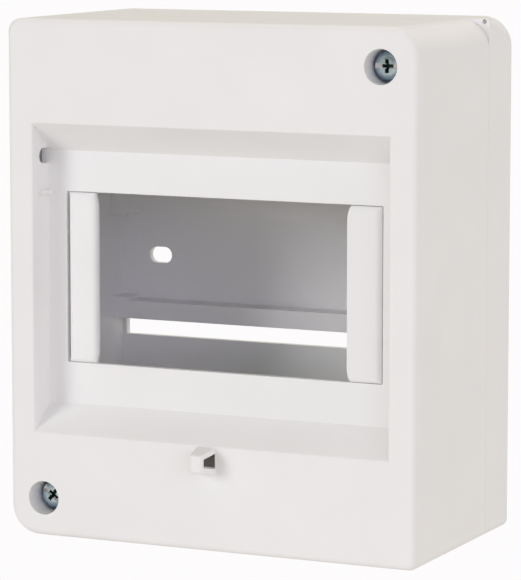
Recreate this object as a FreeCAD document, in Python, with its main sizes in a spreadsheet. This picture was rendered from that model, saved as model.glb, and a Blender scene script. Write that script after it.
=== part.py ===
"""Surface-mounted breaker panel box for four modules on a 35 mm rail.

Frame: origin at the bottom centre of the bounding box, +Z up, the front faces -Y.
Every body is drawn with its own y = 0 on the cover's front face, depths into the box
being positive, and its Placement moves it by face_y into the frame.
"""

import math
import os
import sys

import FreeCAD
import Part
import Sketcher

SIZES = {
    # overall box
    "width": 117.8,
    "height": 138.5,
    "depth": 65.4,
    "face_y": -29.35,
    "wall": 2.0,
    "cover_depth": 48.95,
    "base_start": 49.05,
    "small_corner": 2.1,
    "left_corner": 3.5,
    "big_corner": 8.0,
    "ledge_corner": 1.0,
    "inner_corner": 0.5,
    "front_round": 2.0,
    "rim_round": 0.7,
    "edge_round": 0.3,
    "rebate": 1.6,
    # recess in the cover's face, trapezoid in side view
    "recess_half": 51.3,
    "recess_low": 28.06,
    "recess_high": 111.1,
    "recess_depth": 8.92,
    "floor_low": 35.1,
    "floor_high": 103.3,
    # module cut-out and half-module blanking strips
    "rail_z": 69.4,
    "cut_z": 69.27,
    "cut_half": 45.92,
    "cut_half_high": 23.0,
    "cut_corner": 0.35,
    "strip_gap": 0.12,
    "strip_gap_left": 1.0,
    "strip_inner": 36.5,
    "strip_face": 7.7,
    "strip_back": 9.8,
    "strip_round": 1.6,
    "strip_nick": 0.7,
    "strip_nick_high": 2.8,
    "shelf": 1.0,
    "shelf_gap": 0.3,
    # cover screws, wells and pillars
    "screw_x": 48.8,
    "screw_high": 128.4,
    "screw_low": 10.3,
    "well_radius": 4.5,
    "well_wall": 2.0,
    "seat_high": 7.4,
    "seat_low": 8.3,
    "head_radius": 4.0,
    "head_high": 3.1,
    "head_lift": 0.1,
    "head_dome": 1.6,
    "drive_slot": 4.2,
    "drive_slot_half": 0.65,
    "drive_slot_deep": 0.9,
    "drive_arm": 1.9,
    "drive_arm_half": 0.55,
    "drive_deep": 2.0,
    "shank_radius": 1.95,
    "shank_long": 20.0,
    "clear_radius": 2.3,
    "ring_radius": 3.0,
    "ring_bore": 2.0,
    "ring_thick": 1.2,
    "ring_travel": 8.0,
    "ring_play": 0.3,
    "pillar_radius": 4.25,
    "pillar_gap": 0.5,
    "counterbore": 3.4,
    # sealing eyelet, door pivot holes and catch ribs
    "eyelet_z": 24.4,
    "eyelet_reach": 6.7,
    "eyelet_root_half": 2.65,
    "eyelet_root_low": 3.75,
    "eyelet_root_high": 3.6,
    "eyelet_tip_half": 1.6,
    "eyelet_tip_low": 2.2,
    "eyelet_tip_high": 2.3,
    "eyelet_hole_half": 2.4,
    "window_low": 2.1,
    "window_high": 2.0,
    "window_tip_low": 1.1,
    "window_tip_high": 1.2,
    "window_end": 1.3,
    "pivot_z": 101.8,
    "pivot_radius": 2.0,
    "pivot_front": 3.8,
    "rib_z": 92.1,
    "rib_high": 1.0,
    "rib_front": 3.5,
    "rib_reach": 0.9,
    # base
    "base_wall": 1.85,
    "tongue_inset": 1.35,
    "tongue_rise": 1.3,
    "ledge_hole": 0.65,
    "ledge_hole_side": 1.4,
    "ledge_hole_end": 0.7,
    "ledge_hole_deep": 3.0,
    "back_front": 62.3,
    "back_thick": 2.0,
    "lip_front": 54.8,
    "lip_thick": 1.8,
    "rail_half": 17.5,
    "gap_half": 12.5,
    "channel_wall": 1.5,
    "rail_end": 51.8,
    "end_step": 0.9,
    "slot_low": 46.3,
    "slot_half": 56.0,
    "wall_slot_x": 45.0,
    "wall_slot_half": 3.5,
    "wall_slot_radius": 2.3,
    # terminals
    "neutral_z": 110.3,
    "earth_z": 20.3,
    "bar_half": 26.0,
    "bar_high": 7.0,
    "bar_front": 42.0,
    "bar_back": 51.0,
    "carrier_over": 3.0,
    "carrier_front": 2.0,
    "wire_radius": 2.4,
    "wire_behind": 3.4,
    "clamp_count": 7,
    "clamp_pitch": 7.2,
    "clamp_radius": 1.9,
    "clamp_long": 5.5,
    "clamp_proud": 1.5,
    "clamp_slot_high": 0.8,
    "clamp_slot_deep": 1.0,
    "fit": 0.05,
}

QUARTER_TURN = math.pi / 2
NEAR = 0.01

doc = FreeCAD.newDocument("breaker_panel_box")
sheet = doc.addObject("Spreadsheet::Sheet", "Sizes")
for row, (alias, number) in enumerate(SIZES.items(), start=1):
    sheet.set("A%d" % row, alias)
    sheet.set("B%d" % row, str(number))
    sheet.setAlias("B%d" % row, alias)
doc.recompute()

nodes = []


def value(expression):
    """The number that an expression on the sheet gives."""
    return float(sheet.evalExpression(expression))


def body(name):
    """A new sub-part whose y = 0 lies on the cover's front face."""
    new = doc.addObject("PartDesign::Body", name)
    new.Label = name
    new.setExpression("Placement.Base.y", "Sizes.face_y")
    nodes.append(new)
    return new


def sketch_on(part, role, name, offset):
    """A sketch on an origin plane of the part, offset along +Y, +X or +Z."""
    sketch = part.newObject("Sketcher::SketchObject", name)
    plane = next(f for f in part.Origin.OriginFeatures if f.Role == role)
    sketch.AttachmentSupport = (plane, [""])
    sketch.MapMode = "FlatFace"
    sign = "-" if role == "XZ_Plane" else ""
    sketch.setExpression("AttachmentOffset.Base.z", "%s(%s)" % (sign, offset))
    return sketch


def pin(sketch, geometry, point, x, y):
    """Bind a point of the sketch to two expressions, measured from the origin."""
    for kind, expression in (("DistanceX", x), ("DistanceY", y)):
        datum = Sketcher.Constraint(kind, -1, 1, geometry, point, value(expression))
        index = sketch.addConstraint(datum)
        sketch.setExpression("Constraints[%d]" % index, expression)


def bind_radius(sketch, geometry, expression):
    index = sketch.addConstraint(Sketcher.Constraint("Radius", geometry, value(expression)))
    sketch.setExpression("Constraints[%d]" % index, expression)


def polygon(sketch, corners):
    """A closed outline of straight edges through (x, y) expressions."""
    points = [FreeCAD.Vector(value(x), value(y), 0) for x, y in corners]
    count = len(points)
    first = sketch.GeometryCount
    for i in range(count):
        sketch.addGeometry(Part.LineSegment(points[i], points[(i + 1) % count]), False)
    for i in range(count):
        following = first + (i + 1) % count
        sketch.addConstraint(Sketcher.Constraint("Coincident", first + i, 2, following, 1))
    for i, (x, y) in enumerate(corners):
        pin(sketch, first + i, 1, x, y)


def rectangle(sketch, left, right, low, high):
    polygon(sketch, [(left, low), (right, low), (right, high), (left, high)])


def circle(sketch, x, y, radius):
    centre = FreeCAD.Vector(value(x), value(y), 0)
    axis = FreeCAD.Vector(0, 0, 1)
    index = sketch.addGeometry(Part.Circle(centre, axis, value(radius)), False)
    pin(sketch, index, 3, x, y)
    bind_radius(sketch, index, radius)


def rounded_outline(sketch, left, right, low, high, radii):
    """A rectangle with four own corner radii, from low left anticlockwise."""
    west, east, south, north = (value(side) for side in (left, right, low, high))
    corners = [(west, south, 1, 1), (east, south, -1, 1), (east, north, -1, -1), (west, north, 1, -1)]
    centres = []
    first = sketch.GeometryCount
    for i, ((x, y, inward_x, inward_y), radius) in enumerate(zip(corners, radii)):
        size = value(radius)
        centre = FreeCAD.Vector(x + inward_x * size, y + inward_y * size, 0)
        centres.append((centre, size))
        ring = Part.Circle(centre, FreeCAD.Vector(0, 0, 1), size)
        start = QUARTER_TURN * (2 + i)
        sketch.addGeometry(Part.ArcOfCircle(ring, start, start + QUARTER_TURN), False)
    outward = [(0, -1), (1, 0), (0, 1), (-1, 0)]
    for i, (across, along) in enumerate(outward):
        centre, size = centres[i]
        following, next_size = centres[(i + 1) % 4]
        start = centre + FreeCAD.Vector(across, along, 0) * size
        end = following + FreeCAD.Vector(across, along, 0) * next_size
        sketch.addGeometry(Part.LineSegment(start, end), False)
    for i in range(4):
        side = first + 4 + i
        sketch.addConstraint(Sketcher.Constraint("Tangent", first + i, 2, side, 1))
        sketch.addConstraint(Sketcher.Constraint("Tangent", side, 2, first + (i + 1) % 4, 1))
        direction = "Horizontal" if i % 2 == 0 else "Vertical"
        sketch.addConstraint(Sketcher.Constraint(direction, side))
        bind_radius(sketch, first + i, radii[i])
    for i, kind, expression in ((0, "DistanceY", low), (1, "DistanceX", right),
                                (2, "DistanceY", high), (3, "DistanceX", left)):
        datum = Sketcher.Constraint(kind, -1, 1, first + 4 + i, 1, value(expression))
        index = sketch.addConstraint(datum)
        sketch.setExpression("Constraints[%d]" % index, expression)


def pad(part, sketch, length, back=False, both=False):
    """Raise the sketch; back=True grows a front sketch into the box."""
    feature = part.newObject("PartDesign::Pad", "Pad_" + sketch.Label)
    feature.Profile = sketch
    feature.setExpression("Length", length)
    feature.Reversed = back
    feature.Midplane = both
    doc.recompute()
    return feature


def pocket(part, sketch, length, forward=False, both=False):
    """Cut the sketch into the box, and check that it did remove material."""
    before = part.Shape.Volume
    feature = part.newObject("PartDesign::Pocket", "Pocket_" + sketch.Label)
    feature.Profile = sketch
    feature.setExpression("Length", length)
    feature.Reversed = forward
    feature.Midplane = both
    doc.recompute()
    if part.Shape.Volume > before - NEAR:
        sys.exit("nothing was cut by " + feature.Label)
    return feature


def mirrored(part, originals):
    """Repeat features on the other side of the middle plane x = 0."""
    feature = part.newObject("PartDesign::Mirrored", "Mirrored_" + originals[0].Label)
    feature.Originals = originals
    plane = next(f for f in part.Origin.OriginFeatures if f.Role == "YZ_Plane")
    feature.MirrorPlane = (plane, [""])
    part.Tip = feature
    doc.recompute()
    return feature


def edges_at_depth(shape, depth, around=None):
    """Names of the edges at one depth, all of them or those in around = (x, z, half width, half height)."""
    found = []
    for i, edge in enumerate(shape.Edges, start=1):
        box = edge.BoundBox
        chosen = abs(box.YMin - depth) < NEAR and abs(box.YMax - depth) < NEAR
        if around is not None:
            x, z, half_wide, half_high = around
            chosen = chosen and box.XMin > x - half_wide and box.XMax < x + half_wide
            chosen = chosen and box.ZMin > z - half_high and box.ZMax < z + half_high
        if chosen:
            found.append("Edge%d" % i)
    return found


def round_edges(part, base, names, radius):
    feature = part.newObject("PartDesign::Fillet", "Round_" + base.Label)
    feature.Base = (base, names)
    feature.setExpression("Radius", radius)
    doc.recompute()
    return feature


def box_outline(sketch, inset, radii):
    rounded_outline(
        sketch,
        "-Sizes.width / 2 + " + inset,
        "Sizes.width / 2 - " + inset,
        inset,
        "Sizes.height - " + inset,
        radii,
    )


COVER_RADII = ["Sizes.big_corner", "Sizes.small_corner", "Sizes.big_corner", "Sizes.left_corner"]
COVER_INNER = ["Sizes.big_corner - Sizes.wall", "Sizes.inner_corner", "Sizes.big_corner - Sizes.wall",
               "Sizes.left_corner - Sizes.wall"]
REBATE_RADII = ["Sizes.big_corner - Sizes.wall / 2", "Sizes.inner_corner", "Sizes.big_corner - Sizes.wall / 2",
                "Sizes.left_corner - Sizes.wall / 2"]
BASE_INNER = ["Sizes.big_corner - Sizes.base_wall", "Sizes.inner_corner",
              "Sizes.big_corner - Sizes.base_wall", "Sizes.left_corner - Sizes.base_wall"]
TONGUE_RADII = ["Sizes.big_corner - Sizes.tongue_inset", "Sizes.inner_corner",
                "Sizes.big_corner - Sizes.tongue_inset", "Sizes.left_corner - Sizes.tongue_inset"]
LEDGE_RADII = ["Sizes.ledge_corner", "Sizes.small_corner", "Sizes.ledge_corner", "Sizes.left_corner"]
SCREW_PLACES = [
    ("top", "Sizes.screw_x", "Sizes.screw_high", "Sizes.seat_high"),
    ("bottom", "-Sizes.screw_x", "Sizes.screw_low", "Sizes.seat_low"),
]


def cover_shell(part):
    outline = sketch_on(part, "XZ_Plane", "cover_outline", "0")
    box_outline(outline, "0", COVER_RADII)
    block = pad(part, outline, "Sizes.cover_depth", back=True)
    round_edges(part, block, edges_at_depth(block.Shape, 0.0), "Sizes.front_round")
    cavity = sketch_on(part, "XZ_Plane", "cover_cavity", "Sizes.wall")
    box_outline(cavity, "Sizes.wall", COVER_INNER)
    pocket(part, cavity, "Sizes.cover_depth")
    rebate = sketch_on(part, "XZ_Plane", "cover_rebate", "Sizes.cover_depth - Sizes.rebate")
    box_outline(rebate, "Sizes.wall / 2", REBATE_RADII)
    pocket(part, rebate, "Sizes.wall")


def cover_recess(part):
    """A tub with sloped top and bottom, then the recess that it surrounds."""
    tub = sketch_on(part, "YZ_Plane", "tub_side", "0")
    polygon(tub, [
        ("Sizes.wall / 2", "Sizes.recess_low - Sizes.wall"),
        ("Sizes.recess_depth + Sizes.wall", "Sizes.floor_low - Sizes.wall"),
        ("Sizes.recess_depth + Sizes.wall", "Sizes.floor_high + Sizes.wall"),
        ("Sizes.wall / 2", "Sizes.recess_high + Sizes.wall"),
    ])
    pad(part, tub, "2 * (Sizes.recess_half + Sizes.wall)", both=True)
    recess = sketch_on(part, "YZ_Plane", "recess_side", "0")
    polygon(recess, [
        ("0", "Sizes.recess_low"),
        ("Sizes.recess_depth", "Sizes.floor_low"),
        ("Sizes.recess_depth", "Sizes.floor_high"),
        ("0", "Sizes.recess_high"),
    ])
    cut = pocket(part, recess, "2 * Sizes.recess_half", both=True)
    middle = value("(Sizes.recess_low + Sizes.recess_high) / 2")
    rim = (0, middle, value("Sizes.recess_half") + 1, value("Sizes.recess_high") + 1 - middle)
    round_edges(part, cut, edges_at_depth(cut.Shape, 0.0, rim), "Sizes.rim_round")


def cover_cutout(part):
    """The module cut-out, with a shelf above and below behind each blanking strip."""
    low = "Sizes.cut_z - Sizes.cut_half_high"
    high = "Sizes.cut_z + Sizes.cut_half_high"
    whole = sketch_on(part, "XZ_Plane", "cutout", "Sizes.recess_depth - Sizes.wall / 4")
    rounded_outline(whole, "-Sizes.cut_half", "Sizes.cut_half", low, high, ["Sizes.cut_corner"] * 4)
    cut = pocket(part, whole, "2 * Sizes.wall")
    around = (0, value("Sizes.cut_z"), value("Sizes.cut_half") + 1, value("Sizes.cut_half_high") + 1)
    front = edges_at_depth(cut.Shape, value("Sizes.recess_depth"), around)
    round_edges(part, cut, front, "Sizes.edge_round")
    shelf = sketch_on(part, "XZ_Plane", "shelf", "Sizes.strip_back + Sizes.shelf_gap")
    inner = "Sizes.strip_inner + Sizes.shelf"
    rectangle(shelf, inner, "Sizes.cut_half", low + " - Sizes.wall / 4", low + " + Sizes.shelf")
    rectangle(shelf, inner, "Sizes.cut_half", high + " - Sizes.shelf", high + " + Sizes.wall / 4")
    thickness = "Sizes.recess_depth + Sizes.wall - Sizes.strip_back - Sizes.shelf_gap"
    mirrored(part, [pad(part, shelf, thickness, back=True)])


def cover_wells(part):
    """Screw wells: a tube from the face with a pierced floor."""
    for name, x, z, seat in SCREW_PLACES:
        boss = sketch_on(part, "XZ_Plane", "boss_" + name, "Sizes.wall / 2")
        circle(boss, x, z, "Sizes.well_radius + Sizes.well_wall")
        pad(part, boss, seat + " + Sizes.wall / 2", back=True)
        well = sketch_on(part, "XZ_Plane", "well_" + name, "0")
        circle(well, x, z, "Sizes.well_radius")
        cut = pocket(part, well, seat)
        reach = value("Sizes.well_radius") + 1
        mouth = edges_at_depth(cut.Shape, 0.0, (value(x), value(z), reach, reach))
        round_edges(part, cut, mouth, "Sizes.edge_round")
        hole = sketch_on(part, "XZ_Plane", "screw_hole_" + name, seat)
        circle(hole, x, z, "Sizes.clear_radius")
        pocket(part, hole, "2 * Sizes.wall")


def cover_pivots(part):
    """Half-obround door pivot holes and the catch ribs below them, on both side walls."""
    hole = sketch_on(part, "YZ_Plane", "pivot_hole", "-Sizes.recess_half - 1.5 * Sizes.wall")
    shoulder = "Sizes.pivot_front + Sizes.pivot_radius"
    low = "Sizes.pivot_z - Sizes.pivot_radius"
    high = "Sizes.pivot_z + Sizes.pivot_radius"
    centre = FreeCAD.Vector(value(shoulder), value("Sizes.pivot_z"), 0)
    up = FreeCAD.Vector(0, value("Sizes.pivot_radius"), 0)
    back_low = FreeCAD.Vector(value("Sizes.recess_depth"), value(low), 0)
    back_high = FreeCAD.Vector(value("Sizes.recess_depth"), value(high), 0)
    ring = Part.Circle(centre, FreeCAD.Vector(0, 0, 1), value("Sizes.pivot_radius"))
    hole.addGeometry(Part.ArcOfCircle(ring, QUARTER_TURN, 3 * QUARTER_TURN), False)
    hole.addGeometry(Part.LineSegment(centre - up, back_low), False)
    hole.addGeometry(Part.LineSegment(back_low, back_high), False)
    hole.addGeometry(Part.LineSegment(back_high, centre + up), False)
    hole.addConstraint(Sketcher.Constraint("Tangent", 0, 2, 1, 1))
    hole.addConstraint(Sketcher.Constraint("Coincident", 1, 2, 2, 1))
    hole.addConstraint(Sketcher.Constraint("Coincident", 2, 2, 3, 1))
    hole.addConstraint(Sketcher.Constraint("Tangent", 3, 2, 0, 1))
    hole.addConstraint(Sketcher.Constraint("Horizontal", 1))
    hole.addConstraint(Sketcher.Constraint("Horizontal", 3))
    pin(hole, 2, 1, "Sizes.recess_depth", low)
    pin(hole, 2, 2, "Sizes.recess_depth", high)
    datum = Sketcher.Constraint("DistanceX", -1, 1, 0, 3, value(shoulder))
    index = hole.addConstraint(datum)
    hole.setExpression("Constraints[%d]" % index, shoulder)
    cut = pocket(part, hole, "2 * Sizes.wall", forward=True)
    mirrored(part, [cut])
    rib = sketch_on(part, "YZ_Plane", "catch_rib", "-Sizes.recess_half - Sizes.wall / 4")
    rectangle(rib, "Sizes.rib_front", "Sizes.recess_depth + Sizes.wall / 4",
              "Sizes.rib_z - Sizes.rib_high / 2", "Sizes.rib_z + Sizes.rib_high / 2")
    mirrored(part, [pad(part, rib, "Sizes.rib_reach + Sizes.wall / 4")])


def cover_eyelet(part):
    """Sealing eyelet: a tapered lug on the face with a window across and a hole under it."""
    root = sketch_on(part, "XZ_Plane", "eyelet_root", "Sizes.wall / 4")
    rectangle(root, "-Sizes.eyelet_root_half", "Sizes.eyelet_root_half",
              "Sizes.eyelet_z - Sizes.eyelet_root_low", "Sizes.eyelet_z + Sizes.eyelet_root_high")
    tip = sketch_on(part, "XZ_Plane", "eyelet_tip", "-Sizes.eyelet_reach")
    rectangle(tip, "-Sizes.eyelet_tip_half", "Sizes.eyelet_tip_half",
              "Sizes.eyelet_z - Sizes.eyelet_tip_low", "Sizes.eyelet_z + Sizes.eyelet_tip_high")
    lug = part.newObject("PartDesign::AdditiveLoft", "eyelet_lug")
    lug.Profile = root
    lug.Sections = [tip]
    lug.Ruled = True
    doc.recompute()
    tip_edges = edges_at_depth(lug.Shape, -value("Sizes.eyelet_reach"))
    round_edges(part, lug, tip_edges, "Sizes.rim_round")
    window = sketch_on(part, "YZ_Plane", "eyelet_window", "0")
    polygon(window, [
        ("0", "Sizes.eyelet_z - Sizes.window_low"),
        ("0", "Sizes.eyelet_z + Sizes.window_high"),
        ("Sizes.window_end - Sizes.eyelet_reach", "Sizes.eyelet_z + Sizes.window_tip_high"),
        ("Sizes.window_end - Sizes.eyelet_reach", "Sizes.eyelet_z - Sizes.window_tip_low"),
    ])
    pocket(part, window, "4 * Sizes.eyelet_root_half", both=True)
    hole = sketch_on(part, "XZ_Plane", "eyelet_hole", "0")
    rectangle(hole, "-Sizes.eyelet_hole_half", "Sizes.eyelet_hole_half",
              "Sizes.eyelet_z - Sizes.window_low", "Sizes.eyelet_z + Sizes.window_high")
    pocket(part, hole, "2 * Sizes.wall")


def build_cover():
    part = body("cover")
    cover_shell(part)
    cover_recess(part)
    cover_cutout(part)
    cover_wells(part)
    cover_pivots(part)
    cover_eyelet(part)


def base_tray(part):
    """Outer wall that turns from near-square corners at its front to round ones at its back."""
    front = sketch_on(part, "XZ_Plane", "base_front", "Sizes.base_start")
    box_outline(front, "0", LEDGE_RADII)
    rear = sketch_on(part, "XZ_Plane", "base_rear", "Sizes.depth")
    box_outline(rear, "0", COVER_RADII)
    block = part.newObject("PartDesign::AdditiveLoft", "base_block")
    block.Profile = front
    block.Sections = [rear]
    block.Ruled = True
    doc.recompute()
    tray = sketch_on(part, "XZ_Plane", "tray_cavity", "Sizes.base_start - 1")
    box_outline(tray, "Sizes.base_wall", BASE_INNER)
    pocket(part, tray, "Sizes.back_front - Sizes.base_start + 1")
    hollow = sketch_on(part, "XZ_Plane", "back_hollow", "Sizes.back_front + Sizes.back_thick")
    box_outline(hollow, "Sizes.base_wall", BASE_INNER)
    pocket(part, hollow, "Sizes.back_thick + 1")
    tongue = sketch_on(part, "XZ_Plane", "tongue", "Sizes.base_start - Sizes.tongue_rise")
    box_outline(tongue, "Sizes.tongue_inset", TONGUE_RADII)
    box_outline(tongue, "Sizes.base_wall", BASE_INNER)
    pad(part, tongue, "Sizes.tongue_rise + Sizes.wall / 4", back=True)
    across = "Sizes.width / 2 - Sizes.ledge_hole_side"
    for side, x, z in (("right", across, "Sizes.height - Sizes.ledge_hole_end"),
                       ("left", "-(%s)" % across, "Sizes.ledge_hole_end")):
        hole = sketch_on(part, "XZ_Plane", "ledge_hole_" + side, "Sizes.base_start")
        circle(hole, x, z, "Sizes.ledge_hole")
        pocket(part, hole, "Sizes.ledge_hole_deep")


def base_rail(part):
    """The moulded 35 mm rail: two lips on channel walls, with a block at each end."""
    for name, way in (("lower", "-"), ("upper", "+")):
        lip = sketch_on(part, "YZ_Plane", "rail_" + name, "0")
        gap = "Sizes.rail_z %s Sizes.gap_half" % way
        rim = "Sizes.rail_z %s Sizes.rail_half" % way
        web = "Sizes.rail_z %s (Sizes.gap_half + Sizes.channel_wall)" % way
        polygon(lip, [
            ("Sizes.lip_front", gap),
            ("Sizes.lip_front", rim),
            ("Sizes.lip_front + Sizes.lip_thick", rim),
            ("Sizes.lip_front + Sizes.lip_thick", web),
            ("Sizes.back_front + Sizes.back_thick / 2", web),
            ("Sizes.back_front + Sizes.back_thick / 2", gap),
        ])
        pad(part, lip, "Sizes.width - Sizes.base_wall", both=True)
        end = sketch_on(part, "YZ_Plane", "rail_end_" + name, "Sizes.rail_end")
        inside = "Sizes.rail_z %s (Sizes.gap_half - Sizes.end_step)" % way
        rectangle(end, "Sizes.lip_front", "Sizes.back_front + Sizes.back_thick / 2", inside, rim)
        mirrored(part, [pad(part, end, "Sizes.width / 2 - Sizes.base_wall / 2 - Sizes.rail_end")])


def base_openings(part):
    """Long cable slots behind the lips and the two obround slots for wall screws."""
    near = "Sizes.gap_half + Sizes.channel_wall"
    far = "Sizes.rail_z - Sizes.slot_low"
    slots = sketch_on(part, "XZ_Plane", "long_slots", "Sizes.back_front")
    rectangle(slots, "-Sizes.slot_half", "Sizes.slot_half",
              "Sizes.rail_z - (%s)" % far, "Sizes.rail_z - (%s)" % near)
    rectangle(slots, "-Sizes.slot_half", "Sizes.slot_half",
              "Sizes.rail_z + " + near, "Sizes.rail_z + " + far)
    pocket(part, slots, "2 * Sizes.back_thick")
    for side in ("-", ""):
        name = "left" if side else "right"
        slot = sketch_on(part, "XZ_Plane", "wall_slot_" + name, "Sizes.back_front")
        middle = side + "Sizes.wall_slot_x"
        rounded_outline(
            slot,
            middle + " - Sizes.wall_slot_half",
            middle + " + Sizes.wall_slot_half",
            "Sizes.rail_z - Sizes.wall_slot_radius",
            "Sizes.rail_z + Sizes.wall_slot_radius",
            ["Sizes.wall_slot_radius - Sizes.fit"] * 4,
        )
        pocket(part, slot, "2 * Sizes.back_thick")


def base_pillars(part):
    """Pillars that take the cover screws, counterbored for the captive rings."""
    for name, x, z, seat in SCREW_PLACES:
        top = seat + " + Sizes.wall + Sizes.pillar_gap"
        pillar = sketch_on(part, "XZ_Plane", "pillar_" + name, top)
        circle(pillar, x, z, "Sizes.pillar_radius")
        pad(part, pillar, "Sizes.back_front + Sizes.back_thick / 2 - (%s)" % top, back=True)
        mouth = sketch_on(part, "XZ_Plane", "counterbore_" + name, top)
        circle(mouth, x, z, "Sizes.counterbore")
        pocket(part, mouth, "Sizes.ring_travel + 2 * Sizes.ring_thick")
        bore = sketch_on(part, "XZ_Plane", "thread_bore_" + name, top)
        circle(bore, x, z, "Sizes.shank_radius + Sizes.fit")
        pocket(part, bore, "Sizes.shank_long")


def build_base():
    part = body("base")
    base_tray(part)
    base_rail(part)
    base_openings(part)
    base_pillars(part)


def build_strip(side):
    """A half-module filler: a raised tile, rounded on three sides and straight along its inner edge."""
    part = body("blanking_strip_" + side)
    way, gap = ("-", "Sizes.strip_gap_left") if side == "left" else ("", "Sizes.strip_gap")
    low = "Sizes.cut_z - Sizes.cut_half_high + Sizes.strip_gap"
    high = "Sizes.cut_z + Sizes.cut_half_high - Sizes.strip_gap"
    outer = "%s(Sizes.cut_half - %s)" % (way, gap)
    inner = way + "Sizes.strip_inner"
    nick = way + "(Sizes.strip_inner + Sizes.strip_nick)"
    outline = sketch_on(part, "XZ_Plane", "strip_outline_" + side, "Sizes.strip_face")
    polygon(outline, [
        (outer, low),
        (nick, low),
        (inner, low + " + Sizes.strip_nick_high"),
        (inner, high + " - Sizes.strip_nick_high"),
        (nick, high),
        (outer, high),
    ])
    tile = pad(part, outline, "Sizes.strip_back - Sizes.strip_face", back=True)
    reach = value("Sizes.cut_half - Sizes.strip_inner - Sizes.strip_nick") + NEAR
    outward = (value(outer), value("Sizes.cut_z"), reach, value("Sizes.cut_half_high"))
    rounded = edges_at_depth(tile.Shape, value("Sizes.strip_face"), outward)
    round_edges(part, tile, rounded, "Sizes.strip_round")


def build_ring(name, x, z, seat):
    part = body("captive_ring_" + name)
    front = seat + " + Sizes.wall + Sizes.ring_travel + Sizes.ring_play"
    outline = sketch_on(part, "XZ_Plane", "ring_" + name, front)
    circle(outline, x, z, "Sizes.ring_radius")
    circle(outline, x, z, "Sizes.ring_bore")
    pad(part, outline, "Sizes.ring_thick", back=True)


def build_screw(name, x, z, seat, turn):
    """A pan head with a slot and a cross recess, on a plain shank."""
    part = body("cover_screw_" + name)
    part.setExpression("Placement.Base.x", x)
    part.setExpression("Placement.Base.z", z)
    part.setExpression("Placement.Base.y", "Sizes.face_y + " + seat)
    part.Placement.Rotation = FreeCAD.Rotation(FreeCAD.Vector(0, 1, 0), turn)
    head = sketch_on(part, "XZ_Plane", "head_" + name, "-Sizes.head_lift")
    circle(head, "0", "0", "Sizes.head_radius")
    top = pad(part, head, "Sizes.head_high")
    crown = -value("Sizes.head_high + Sizes.head_lift")
    round_edges(part, top, edges_at_depth(top.Shape, crown), "Sizes.head_dome")
    shank = sketch_on(part, "XZ_Plane", "shank_" + name, "-2 * Sizes.head_lift")
    circle(shank, "0", "0", "Sizes.shank_radius")
    pad(part, shank, "Sizes.shank_long + 2 * Sizes.head_lift", back=True)
    slot = sketch_on(part, "XZ_Plane", "slot_" + name, "-Sizes.head_high - Sizes.head_lift")
    rectangle(slot, "-Sizes.drive_slot", "Sizes.drive_slot", "-Sizes.drive_slot_half", "Sizes.drive_slot_half")
    pocket(part, slot, "Sizes.drive_slot_deep")
    cross = sketch_on(part, "XZ_Plane", "cross_" + name, "-Sizes.head_high - Sizes.head_lift")
    near, far = "Sizes.drive_arm_half", "Sizes.drive_arm"
    polygon(cross, [
        (near, near), (near, far), ("-" + near, far), ("-" + near, near),
        ("-" + far, near), ("-" + far, "-" + near), ("-" + near, "-" + near), ("-" + near, "-" + far),
        (near, "-" + far), (near, "-" + near), (far, "-" + near), (far, near),
    ])
    pocket(part, cross, "Sizes.drive_deep")


def build_carrier(name, z):
    """Insulating cradle on the back wall, with an end post at each side of the bar."""
    part = body(name + "_carrier")
    front = "Sizes.bar_front - Sizes.carrier_front"
    block = sketch_on(part, "XZ_Plane", name + "_block", front)
    half_wide = "(Sizes.bar_half + Sizes.carrier_over)"
    half_high = "(Sizes.bar_high + Sizes.carrier_over) / 2"
    rectangle(block, "-" + half_wide, half_wide, z + " - " + half_high, z + " + " + half_high)
    pad(part, block, "Sizes.back_front - (%s)" % front, back=True)
    bed = sketch_on(part, "XZ_Plane", name + "_bed", front)
    rectangle(bed, "-Sizes.bar_half - Sizes.fit", "Sizes.bar_half + Sizes.fit",
              z + " - Sizes.bar_high", z + " + Sizes.bar_high")
    pocket(part, bed, "Sizes.bar_back - (%s)" % front)


def clamp_offsets():
    count = int(value("Sizes.clamp_count"))
    return ["%.1f * Sizes.clamp_pitch" % (i - (count - 1) / 2) for i in range(count)]


def build_bar(name, z):
    """Brass bar with a wire hole and a clamp screw hole at each place."""
    part = body(name + "_bar")
    outline = sketch_on(part, "XZ_Plane", name + "_bar_face", "Sizes.bar_front")
    rectangle(outline, "-Sizes.bar_half", "Sizes.bar_half",
              z + " - Sizes.bar_high / 2", z + " + Sizes.bar_high / 2")
    pad(part, outline, "Sizes.bar_back - Sizes.bar_front", back=True)
    wires = sketch_on(part, "XY_Plane", name + "_wire_holes", z + " + Sizes.bar_high / 2")
    screws = sketch_on(part, "XZ_Plane", name + "_screw_holes", "Sizes.bar_front")
    for x in clamp_offsets():
        circle(wires, x, "Sizes.bar_back - Sizes.wire_behind", "Sizes.wire_radius")
        circle(screws, x, z, "Sizes.clamp_radius + Sizes.fit")
    pocket(part, wires, "2 * Sizes.bar_high")
    pocket(part, screws, "Sizes.clamp_long - Sizes.clamp_proud")


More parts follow.
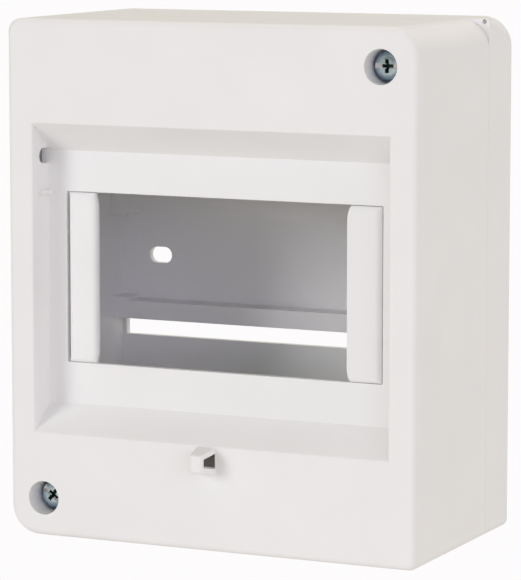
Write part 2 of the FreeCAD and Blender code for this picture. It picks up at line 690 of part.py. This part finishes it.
def build_clamps(name, z):
    """Slotted clamp screws, one solid at each place, kept as one group."""
    solids = []
    for i, x in enumerate(clamp_offsets()):
        rod = doc.addObject("Part::Cylinder", "%s_clamp_rod_%d" % (name, i))
        rod.setExpression("Radius", "Sizes.clamp_radius")
        rod.setExpression("Height", "Sizes.clamp_long")
        rod.Placement.Rotation = FreeCAD.Rotation(FreeCAD.Vector(1, 0, 0), -90)
        rod.setExpression("Placement.Base.x", x)
        rod.setExpression("Placement.Base.y", "Sizes.bar_front - Sizes.clamp_proud")
        rod.setExpression("Placement.Base.z", z)
        slot = doc.addObject("Part::Box", "%s_clamp_slot_%d" % (name, i))
        slot.setExpression("Length", "4 * Sizes.clamp_radius")
        slot.setExpression("Width", "Sizes.clamp_slot_deep")
        slot.setExpression("Height", "Sizes.clamp_slot_high")
        slot.setExpression("Placement.Base.x", x + " - 2 * Sizes.clamp_radius")
        slot.setExpression("Placement.Base.y", "Sizes.bar_front - Sizes.clamp_proud")
        slot.setExpression("Placement.Base.z", z + " - Sizes.clamp_slot_high / 2")
        screw = doc.addObject("Part::Cut", "%s_clamp_%d" % (name, i))
        screw.Base = rod
        screw.Tool = slot
        solids.append(screw)
    group = doc.addObject("Part::Compound", name + "_clamp_screws")
    group.Label = name + "_clamp_screws"
    group.Links = solids
    group.setExpression("Placement.Base.y", "Sizes.face_y")
    nodes.append(group)


build_base()
build_cover()
for side in ("left", "right"):
    build_strip(side)
for (name, x, z, seat), turn in zip(SCREW_PLACES, (0, 38)):
    build_ring(name, x, z, seat)
    build_screw(name, x, z, seat, turn)
for name, z in (("neutral", "Sizes.neutral_z"), ("earth", "Sizes.earth_z")):
    build_carrier(name, z)
    build_bar(name, z)
    build_clamps(name, z)
doc.recompute()

for item in doc.Objects:
    if "Invalid" in item.State or "Error" in item.State:
        sys.exit("failed object: " + item.Label)
os.makedirs("parts", exist_ok=True)
for node in nodes:
    if node.Shape.isNull() or not node.Shape.isValid():
        sys.exit("bad shape: " + node.Label)
for node in nodes:
    node.Shape.exportStep("parts/%s.step" % node.Label)
    print(node.Label, len(node.Shape.Solids), round(node.Shape.Volume, 1))
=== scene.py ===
"""Looks of the breaker panel box: materials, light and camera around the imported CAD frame."""

import bmesh
import bpy
import math
from mathutils import Matrix, Vector


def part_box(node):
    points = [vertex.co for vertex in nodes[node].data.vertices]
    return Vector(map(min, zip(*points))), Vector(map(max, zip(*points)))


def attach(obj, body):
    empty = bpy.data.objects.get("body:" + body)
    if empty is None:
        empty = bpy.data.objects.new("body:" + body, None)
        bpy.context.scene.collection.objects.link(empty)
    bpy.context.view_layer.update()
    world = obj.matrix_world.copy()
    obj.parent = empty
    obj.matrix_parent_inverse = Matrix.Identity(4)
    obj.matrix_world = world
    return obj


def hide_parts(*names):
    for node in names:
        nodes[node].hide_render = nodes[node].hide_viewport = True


# The view: degrees to the right of the object's front, and up.
VIEW_SIDE = 25.3
VIEW_HEIGHT = 7.48
# The point looked at, the distance to it and the furthest depth drawn, in metres.
VIEW_AIM = (0.0017, 0.0, 0.0659)
VIEW_DISTANCE = 0.8704
VIEW_FAR = 20.0
# The lens and its sensor, in millimetres.
VIEW_LENS = 202.0
VIEW_SENSOR = 36.0

# The floor: what the camera sees, and the dimmer glow that it throws back.
FLOOR_WHITE = (0.985, 0.970, 0.975)
FLOOR_GLOW = (0.70, 0.67, 0.62)
FLOOR_SIZE = 60.0
FLOOR_GAP = 0.0002

# Wide lobes of sky, each with the direction it comes from, narrowness, strength and tint.
COOL = (1.0, 1.0, 1.25)
ROSY = (1.02, 0.98, 0.97)
WARM = (1.0, 0.94, 0.70)
SKY_LOBES = [
    ((0.8, -1.0, 0.1), 8.0, 1.6, COOL),
    ((1.0, -0.15, 0.1), 8.0, 1.45, ROSY),
    ((0.0, 1.0, 1.0), 4.0, 1.2, ROSY),
    ((0.0, 0.0, 1.0), 1.0, 0.48, WARM),
]

# The large key light, with its place and spread in degrees.
KEY_POWER = 1.19
KEY_COLOR = (0.97, 0.97, 1.0)
KEY_SIDE = -35.0
KEY_HEIGHT = 15.0
KEY_SPREAD = 26.0

# Plastics: colours, then how far the colour clouds over.
CASE_WHITE = (0.895, 0.89, 0.89)
RING_WHITE = (0.78, 0.78, 0.74)
CARRIER_COLORS = {"neutral": (0.03, 0.10, 0.34), "earth": (0.03, 0.22, 0.06)}
CASE_ROUGHNESS = 0.42
CARRIER_ROUGHNESS = 0.45
RING_ROUGHNESS = 0.5
CLOUD_DARK = 0.985
CLOUD_LIGHT = 1.01

# Noise scales, in features per metre.
CLOUD_SCALE = 45.0
GRAIN_SCALE = 2600.0
STREAK_SCALE = 300.0
ZINC_SCALE = 700.0
CROWN_SCALE = 900.0
RECESS_SCALE = 1500.0

# Bumps: heights in metres, each with its strength.
GRAIN_BUMP = (0.00004, 0.25)
METAL_BUMP = (0.00003, 0.3)

# Metals: the dull and the bright colour of each.
ZINC_TONES = ((0.38, 0.46, 0.48), (0.72, 0.76, 0.76))
BRASS_TONES = ((0.62, 0.45, 0.18), (0.86, 0.68, 0.34))
ZINC_ROUGHNESS = 0.3
BRASS_ROUGHNESS = 0.32

# Cover screw heads: painted light and shade. The crown's pale colour sinks to a painted navy shade
# at the edge, where the rounded edge would mirror the dark well, out to a radius in metres.
CROWN_TEAL = (0.62, 0.76, 0.80)
EDGE_NAVY_PAINTED_SHADE = (0.02, 0.11, 0.28)
HEAD_SHADE_REACH = 0.0052
HEAD_STAIN = 0.30
# The drive's cuts: a painted highlight in the slot, where its shallow floor would catch the light,
# and painted shade deep in the cross.
SLOT_PAINTED_HIGHLIGHT = (0.95, 0.94, 0.92)
SLOT_ROUGHNESS = 0.4
CROSS_PAINTED_SHADE = (0.03, 0.10, 0.10)
CROSS_ROUGHNESS = 0.45
RECESS_METALLIC = 0.6
RECESS_DULL = 0.6

# Cover screw shapes, in metres; depths run from the crown of the head.
CROWN = 0.0016
HEAD_HIGH = 0.0031
HEAD_DOME = 0.0018
HEAD_CHAMFER = 0.0002
NECK = 0.00165
NECK_LONG = 0.0015
THREAD_PITCH = 0.0018
THREAD_CREST = 0.00193
THREAD_ROOT = 0.0015
TIP_LONG = 0.0012
TIP_SHOULDER = 0.00135
TIP_RADIUS = 0.0009
CROSS_HALF = 0.00055
CROSS_REACH = 0.0019
CROSS_DEEP = 0.0022
SLOT_HALF = 0.00065
SLOT_DEEP = 0.0007
CUT_OVER = 0.0003
# Counts and shares: a thread flank is a share of the pitch, the cross narrows to its taper.
SCREW_AROUND = 64
DOME_STEPS = 8
THREAD_ROWS = 12
THREAD_FLANK = 0.32
CROSS_TAPER = 0.5
# Degrees: how far each screw's drive is turned, and the angle from which an edge is sharp.
SCREW_TURNS = {"top": 0.0, "bottom": 38.0}
SHARP_FROM = 32.0

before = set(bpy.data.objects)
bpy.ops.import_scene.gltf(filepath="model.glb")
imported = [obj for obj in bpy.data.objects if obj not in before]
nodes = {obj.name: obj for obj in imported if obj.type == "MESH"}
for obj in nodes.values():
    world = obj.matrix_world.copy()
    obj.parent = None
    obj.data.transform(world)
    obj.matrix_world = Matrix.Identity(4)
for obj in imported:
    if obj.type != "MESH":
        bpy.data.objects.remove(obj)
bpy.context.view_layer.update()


def new_material(name, color, roughness, specular=0.5, metallic=0.0):
    """A node material with one Principled shader; returns the material, its tree and shader."""
    material = bpy.data.materials.new(name)
    material.use_nodes = True
    tree = material.node_tree
    shader = tree.nodes["Principled BSDF"]
    shader.inputs["Base Color"].default_value = (*color, 1.0)
    shader.inputs["Roughness"].default_value = roughness
    shader.inputs["Specular IOR Level"].default_value = specular
    shader.inputs["Metallic"].default_value = metallic
    return material, tree, shader


def add_noise(tree, scale, detail):
    """Noise in object coordinates."""
    coords = tree.nodes.new("ShaderNodeTexCoord")
    noise = tree.nodes.new("ShaderNodeTexNoise")
    noise.inputs["Scale"].default_value = scale
    noise.inputs["Detail"].default_value = detail
    tree.links.new(coords.outputs["Object"], noise.inputs["Vector"])
    return noise.outputs["Fac"]


def add_bump(tree, shader, height, bump_size):
    """Bump on the shader from a height; bump_size is a distance and a strength."""
    bump = tree.nodes.new("ShaderNodeBump")
    bump.inputs["Distance"].default_value, bump.inputs["Strength"].default_value = bump_size
    tree.links.new(height, bump.inputs["Height"])
    tree.links.new(bump.outputs["Normal"], shader.inputs["Normal"])


def add_color(tree, shader, factor, low, high):
    """Base colour that runs from low to high with a factor, each a (place, colour)."""
    ramp = tree.nodes.new("ShaderNodeValToRGB")
    for element, (place, color) in zip(ramp.color_ramp.elements, (low, high)):
        element.position = place
        element.color = (*color, 1.0)
    tree.links.new(factor, ramp.inputs["Fac"])
    tree.links.new(ramp.outputs["Color"], shader.inputs["Base Color"])


def moulded_plastic(name, color, roughness):
    """Moulded plastic: a faint cloudiness in colour over a fine spark-eroded grain."""
    material, tree, shader = new_material(name, color, roughness)
    dark = [part * CLOUD_DARK for part in color]
    light = [min(1.0, part * CLOUD_LIGHT) for part in color]
    add_color(tree, shader, add_noise(tree, CLOUD_SCALE, 3.0), (0.3, dark), (0.7, light))
    add_bump(tree, shader, add_noise(tree, GRAIN_SCALE, 2.0), GRAIN_BUMP)
    return material


def blotched_metal(name, noise_size, low, high, roughness, metallic=1.0):
    """Metal whose colour and surface vary together; noise_size is a scale and a detail."""
    material, tree, shader = new_material(name, high[1], roughness, metallic=metallic)
    blotch = add_noise(tree, *noise_size)
    add_color(tree, shader, blotch, low, high)
    add_bump(tree, shader, blotch, METAL_BUMP)
    return material


def recess_zinc_painted_light(name, color, roughness):
    """Zinc in the drive's cuts, in painted light: a bright painted highlight in the slot or dark
    painted shade in the cross, blotched at random.
    """
    dull = [part * RECESS_DULL for part in color]
    return blotched_metal(name, (RECESS_SCALE, 4.0), (0.3, dull), (0.7, color),
                          roughness, RECESS_METALLIC)


def head_zinc_painted_shade(name):
    """Blue-passivated zinc on a screw head, with painted light and shade: pale at the crown,
    sinking at its edge to a navy painted reflection of the dark well.
    """
    material, tree, shader = new_material(name, CROWN_TEAL, ZINC_ROUGHNESS, metallic=1.0)
    coords = tree.nodes.new("ShaderNodeTexCoord")
    shrink = tree.nodes.new("ShaderNodeMapping")
    shrink.inputs["Scale"].default_value = (1 / HEAD_SHADE_REACH,) * 3
    tree.links.new(coords.outputs["Object"], shrink.inputs["Vector"])
    # Painted shade: a radial gradient from the head's centre darkens the colour towards its edge.
    spread = tree.nodes.new("ShaderNodeTexGradient")
    spread.gradient_type = "SPHERICAL"
    tree.links.new(shrink.outputs["Vector"], spread.inputs["Vector"])
    blotch = add_noise(tree, CROWN_SCALE, 5.0)
    stain = tree.nodes.new("ShaderNodeMath")
    stain.operation = "MULTIPLY_ADD"
    stain.inputs[1].default_value = HEAD_STAIN
    tree.links.new(blotch, stain.inputs[0])
    tree.links.new(spread.outputs["Fac"], stain.inputs[2])
    add_color(tree, shader, stain.outputs["Value"], (0.22, EDGE_NAVY_PAINTED_SHADE), (0.75, CROWN_TEAL))
    add_bump(tree, shader, blotch, METAL_BUMP)
    return material


def dress(material, *names):
    """Give a CAD node, or several, one material."""
    for name in names:
        mesh = nodes[name].data
        mesh.materials.clear()
        mesh.materials.append(material)


def lathe(rings, around):
    """A turned mesh about +Y; each ring is (depth, radius at an angle)."""
    mesh = bmesh.new()
    rows = []
    for depth, radius in rings:
        row = []
        for step in range(around):
            angle = 2 * math.pi * step / around
            reach = radius(angle)
            row.append(mesh.verts.new((reach * math.cos(angle), depth, reach * math.sin(angle))))
        rows.append(row)
    for near, far in zip(rows, rows[1:]):
        for step in range(around):
            after = (step + 1) % around
            mesh.faces.new((near[step], near[after], far[after], far[step]))
    mesh.faces.new(rows[0][::-1])
    mesh.faces.new(rows[-1])
    bmesh.ops.recalc_face_normals(mesh, faces=mesh.faces)
    return mesh


def prism(outline, front, back, taper=1.0):
    """A plug cut from an (x, z) outline, narrowing by taper from its front to its back."""
    mesh = bmesh.new()
    near = [mesh.verts.new((x, front, z)) for x, z in outline]
    far = [mesh.verts.new((x * taper, back, z * taper)) for x, z in outline]
    mesh.faces.new(near)
    mesh.faces.new(far[::-1])
    for here in range(len(outline)):
        after = (here + 1) % len(outline)
        mesh.faces.new((near[here], far[here], far[after], near[after]))
    bmesh.ops.recalc_face_normals(mesh, faces=mesh.faces)
    return mesh


def add_object(name, mesh, *materials):
    """An object from a mesh being built, with its materials in the order of the faces' indices."""
    data = bpy.data.meshes.new(name)
    mesh.to_mesh(data)
    mesh.free()
    for material in materials:
        data.materials.append(material)
    piece = bpy.data.objects.new(name, data)
    bpy.context.scene.collection.objects.link(piece)
    return piece


def carve(piece, cutter):
    """Cut one object out of another for good; the cut faces take the cutter's material."""
    cut = piece.modifiers.new("carve", "BOOLEAN")
    cut.operation = "DIFFERENCE"
    cut.solver = "EXACT"
    cut.material_mode = "TRANSFER"
    cut.object = cutter
    graph = bpy.context.evaluated_depsgraph_get()
    carved = bpy.data.meshes.new_from_object(piece.evaluated_get(graph))
    piece.modifiers.clear()
    plain = piece.data
    piece.data = carved
    bpy.data.meshes.remove(plain)
    bpy.data.objects.remove(cutter)


def screw_rings(head, length):
    """Crown, rounded edge and underside of the head, then the neck and the threaded shank."""
    rings = []

    def plain(depth, radius):
        rings.append((depth, lambda angle: radius))

    for step in range(1, DOME_STEPS + 1):
        turn = math.pi / 2 * step / DOME_STEPS
        plain(HEAD_DOME * (1 - math.cos(turn)), CROWN + (head - CROWN) * math.sin(turn))
    plain(HEAD_HIGH - HEAD_CHAMFER, head)
    plain(HEAD_HIGH, head - HEAD_CHAMFER)
    plain(HEAD_HIGH, THREAD_CREST + HEAD_CHAMFER)
    plain(HEAD_HIGH + HEAD_CHAMFER, NECK)
    plain(HEAD_HIGH + NECK_LONG, NECK)
    first, last = HEAD_HIGH + NECK_LONG + THREAD_PITCH / 2, length - TIP_LONG
    rows = math.ceil((last - first) / THREAD_PITCH * THREAD_ROWS)
    for row in range(rows + 1):
        depth = first + (last - first) * row / rows
        grown = min(1.0, (depth - first) / THREAD_PITCH, (last - depth) / THREAD_PITCH)

        def ridge(angle, depth=depth, grown=grown):
            phase = (depth / THREAD_PITCH - angle / (2 * math.pi)) % 1.0
            slope = max(0.0, 1.0 - abs(phase - 0.5) / THREAD_FLANK)
            return THREAD_ROOT + (THREAD_CREST - THREAD_ROOT) * slope * grown
        rings.append((depth, ridge))
    plain(length - TIP_LONG / 2, TIP_SHOULDER)
    plain(length, TIP_RADIUS)
    return rings


def cross_outline():
    """Outline of a cross-shaped recess: four arms, each with a square end."""
    arm = ((CROSS_HALF, CROSS_HALF), (CROSS_HALF, CROSS_REACH), (-CROSS_HALF, CROSS_REACH))
    points = []
    for quarter in range(4):
        cos, sin = math.cos(math.pi / 2 * quarter), math.sin(math.pi / 2 * quarter)
        points += [(x * cos - z * sin, x * sin + z * cos) for x, z in arm]
    return points


def build_cover_screw(node, turn, skin, shank, slot_painted_highlight, dark):
    """Pan head with a full-width slot and a deep cross recess over a coarse plastic thread."""
    low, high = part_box(node)
    head = (high.x - low.x) / 2
    turned = lathe(screw_rings(head, high.y - low.y), SCREW_AROUND)
    for face in turned.faces:
        face.material_index = int(face.calc_center_median().y > HEAD_HIGH)
    piece = add_object(node + "_detail", turned, skin, shank)
    reach = head + CUT_OVER
    slot = [(-reach, -SLOT_HALF), (reach, -SLOT_HALF), (reach, SLOT_HALF), (-reach, SLOT_HALF)]
    slot_plug = prism(slot, -CUT_OVER, SLOT_DEEP)
    cross_plug = prism(cross_outline(), -CUT_OVER, CROSS_DEEP, CROSS_TAPER)
    # The slot's cut faces take the painted highlight, the cross's cut faces the painted shade.
    carve(piece, add_object("slot_cutter", slot_plug, slot_painted_highlight))
    carve(piece, add_object("cross_cutter", cross_plug, dark))
    piece.data.transform(Matrix.Rotation(math.radians(turn), 4, "Y"))
    piece.data.shade_smooth()
    piece.data.set_sharp_from_angle(angle=math.radians(SHARP_FROM))
    piece.location = ((low.x + high.x) / 2, low.y, (low.z + high.z) / 2)
    bpy.context.view_layer.update()
    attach(piece, node)
    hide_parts(node)


def direction(side, height):
    """Unit vector to a place round the object: degrees to the right of its front, and up."""
    side, height = math.radians(side), math.radians(height)
    level = math.cos(height)
    return Vector((math.sin(side) * level, -math.cos(side) * level, math.sin(height)))


def build_camera():
    """The camera: from the right and a little above, far away."""
    data = bpy.data.cameras.new("camera")
    data.sensor_width = VIEW_SENSOR
    data.lens = VIEW_LENS
    data.clip_end = VIEW_FAR
    camera = bpy.data.objects.new("camera", data)
    bpy.context.scene.collection.objects.link(camera)
    towards = direction(VIEW_SIDE, VIEW_HEIGHT)
    camera.location = Vector(VIEW_AIM) + VIEW_DISTANCE * towards
    camera.rotation_euler = towards.to_track_quat("Z", "Y").to_euler()
    bpy.context.scene.camera = camera


def build_floor():
    """A plain pale floor: white to look at, with a softer glow as the light it throws back."""
    material, tree, shader = new_material("floor_white", (0.0, 0.0, 0.0), 0.9, specular=0.0)
    path = tree.nodes.new("ShaderNodeLightPath")
    look = tree.nodes.new("ShaderNodeMix")
    look.data_type = "RGBA"
    look.inputs["A"].default_value = (*FLOOR_GLOW, 1.0)
    look.inputs["B"].default_value = (*FLOOR_WHITE, 1.0)
    tree.links.new(path.outputs["Is Camera Ray"], look.inputs["Factor"])
    tree.links.new(look.outputs["Result"], shader.inputs["Emission Color"])
    shader.inputs["Emission Strength"].default_value = 1.0
    bpy.ops.mesh.primitive_plane_add(size=FLOOR_SIZE, location=(0, 0, -FLOOR_GAP))
    floor = bpy.context.object
    floor.name = "floor"
    floor.data.materials.append(material)


def build_world():
    """Soft surroundings: a few wide lobes of light, each brightest towards one direction."""
    world = bpy.data.worlds.new("studio")
    world.use_nodes = True
    tree = world.node_tree
    coords = tree.nodes.new("ShaderNodeTexCoord")
    total = None
    for towards, narrowness, strength, tint in SKY_LOBES:
        facing = tree.nodes.new("ShaderNodeVectorMath")
        facing.operation = "DOT_PRODUCT"
        facing.inputs[1].default_value = Vector(towards).normalized()
        tree.links.new(coords.outputs["Generated"], facing.inputs[0])
        front = tree.nodes.new("ShaderNodeMath")
        front.operation = "MAXIMUM"
        front.inputs[1].default_value = 0.0
        tree.links.new(facing.outputs["Value"], front.inputs[0])
        fall = tree.nodes.new("ShaderNodeMath")
        fall.operation = "POWER"
        fall.inputs[1].default_value = narrowness
        tree.links.new(front.outputs[0], fall.inputs[0])
        share = tree.nodes.new("ShaderNodeVectorMath")
        share.operation = "MULTIPLY_ADD"
        share.inputs[1].default_value = [strength * part for part in tint]
        tree.links.new(fall.outputs[0], share.inputs[0])
        if total is not None:
            tree.links.new(total.outputs["Vector"], share.inputs[2])
        total = share
    tree.links.new(total.outputs["Vector"], tree.nodes["Background"].inputs["Color"])
    bpy.context.scene.world = world


def build_key():
    """One large soft key from the front left, kept out of reflections."""
    data = bpy.data.lights.new("key", "SUN")
    data.energy = KEY_POWER
    data.color = KEY_COLOR
    data.angle = math.radians(KEY_SPREAD)
    key = bpy.data.objects.new("key", data)
    key.rotation_euler = direction(KEY_SIDE, KEY_HEIGHT).to_track_quat("Z", "Y").to_euler()
    key.visible_glossy = False
    bpy.context.scene.collection.objects.link(key)


white = moulded_plastic("case_plastic", CASE_WHITE, CASE_ROUGHNESS)
nylon = moulded_plastic("ring_nylon", RING_WHITE, RING_ROUGHNESS)
steel = blotched_metal("zinc_steel", (ZINC_SCALE, 5.0), (0.3, ZINC_TONES[0]),
                       (0.75, ZINC_TONES[1]), ZINC_ROUGHNESS)
brass = blotched_metal("terminal_brass", (STREAK_SCALE, 4.0), (0.3, BRASS_TONES[0]),
                       (0.8, BRASS_TONES[1]), BRASS_ROUGHNESS)
head_skin_painted_shade = head_zinc_painted_shade("screw_zinc_painted_shade")
slot_skin_painted_highlight = recess_zinc_painted_light("screw_slot_zinc_painted_highlight", SLOT_PAINTED_HIGHLIGHT, SLOT_ROUGHNESS)
cross_skin_painted_shade = recess_zinc_painted_light("screw_cross_zinc_painted_shade", CROSS_PAINTED_SHADE, CROSS_ROUGHNESS)

dress(white, "cover", "base", "blanking_strip_left", "blanking_strip_right")
for place, turn in SCREW_TURNS.items():
    dress(nylon, "captive_ring_" + place)
    dress(steel, "cover_screw_" + place)
    build_cover_screw("cover_screw_" + place, turn, head_skin_painted_shade, steel, slot_skin_painted_highlight, cross_skin_painted_shade)
for terminal, color in CARRIER_COLORS.items():
    carrier = moulded_plastic(terminal + "_plastic", color, CARRIER_ROUGHNESS)
    dress(carrier, terminal + "_carrier")
    dress(brass, terminal + "_bar")
    dress(steel, terminal + "_clamp_screws")

build_camera()
build_floor()
build_world()
build_key()
bpy.context.scene.view_settings.view_transform = "Standard"
